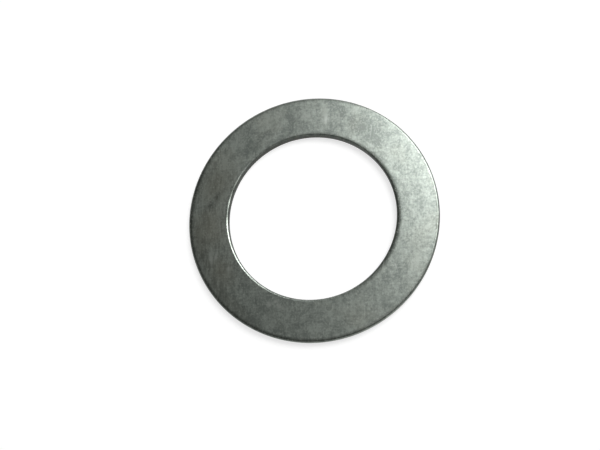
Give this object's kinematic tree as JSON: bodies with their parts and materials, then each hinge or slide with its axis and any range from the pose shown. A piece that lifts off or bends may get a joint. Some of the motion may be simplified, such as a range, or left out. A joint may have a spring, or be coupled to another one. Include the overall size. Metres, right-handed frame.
{
  "type": "washer",
  "caption": "Plain flat ring washer with a wide bore and a narrow rim, stamped from steel sheet, with rolled-over upper edges.",
  "frame": {"origin": "centre of the bore on the underside, which rests on the surface", "axes": "+Z along the bore, towards the face with the rolled-over edges; X and Y lie in the underside and are interchangeable"},
  "size_m": [0.0381, 0.038, 0.0012],
  "materials": {
    "steel": "plain mild steel, tumbled to a dull satin, with fine straight handling scratches and a faint green-grey cast"
  },
  "bodies": {
    "root": {"washer": "steel"}
  },
  "joints": []
}
